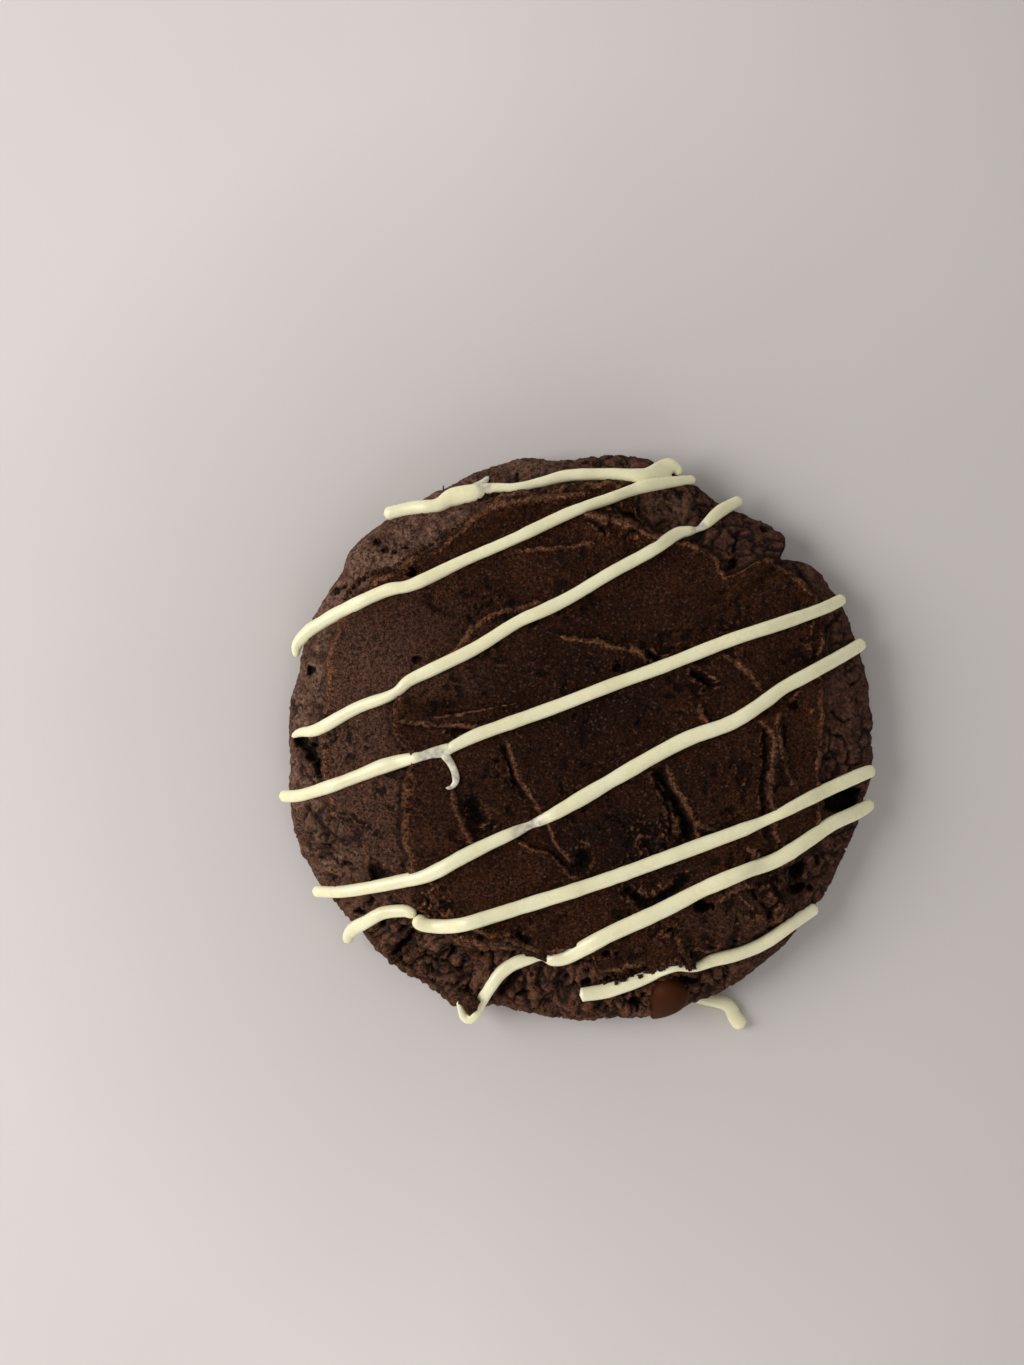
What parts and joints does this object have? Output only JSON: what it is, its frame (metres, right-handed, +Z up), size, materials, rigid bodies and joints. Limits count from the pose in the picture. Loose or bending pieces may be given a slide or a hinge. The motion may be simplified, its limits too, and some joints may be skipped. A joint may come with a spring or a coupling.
{
  "type": "mud cake cookie",
  "caption": "Thick round dark chocolate cookie with a cracked crumbly rim, spread with chocolate icing and crossed by raised strands of white chocolate.",
  "frame": {"origin": "middle of the cookie's flat underside, on the table", "axes": "+Z up out of the iced top; +X to the right and +Y away, as the cookie lies in the picture, so the white strands rise to the right"},
  "size_m": [0.0926, 0.0892, 0.017],
  "materials": {
    "baked_cookie": "rough baked crumb",
    "chocolate_icing": "finely pebbled, slightly moist",
    "white_chocolate": "smooth semi-gloss",
    "chocolate_chip": "smooth satin"
  },
  "bodies": {
    "root": {"cookie": "baked_cookie", "icing": "chocolate_icing"}
  },
  "joints": []
}
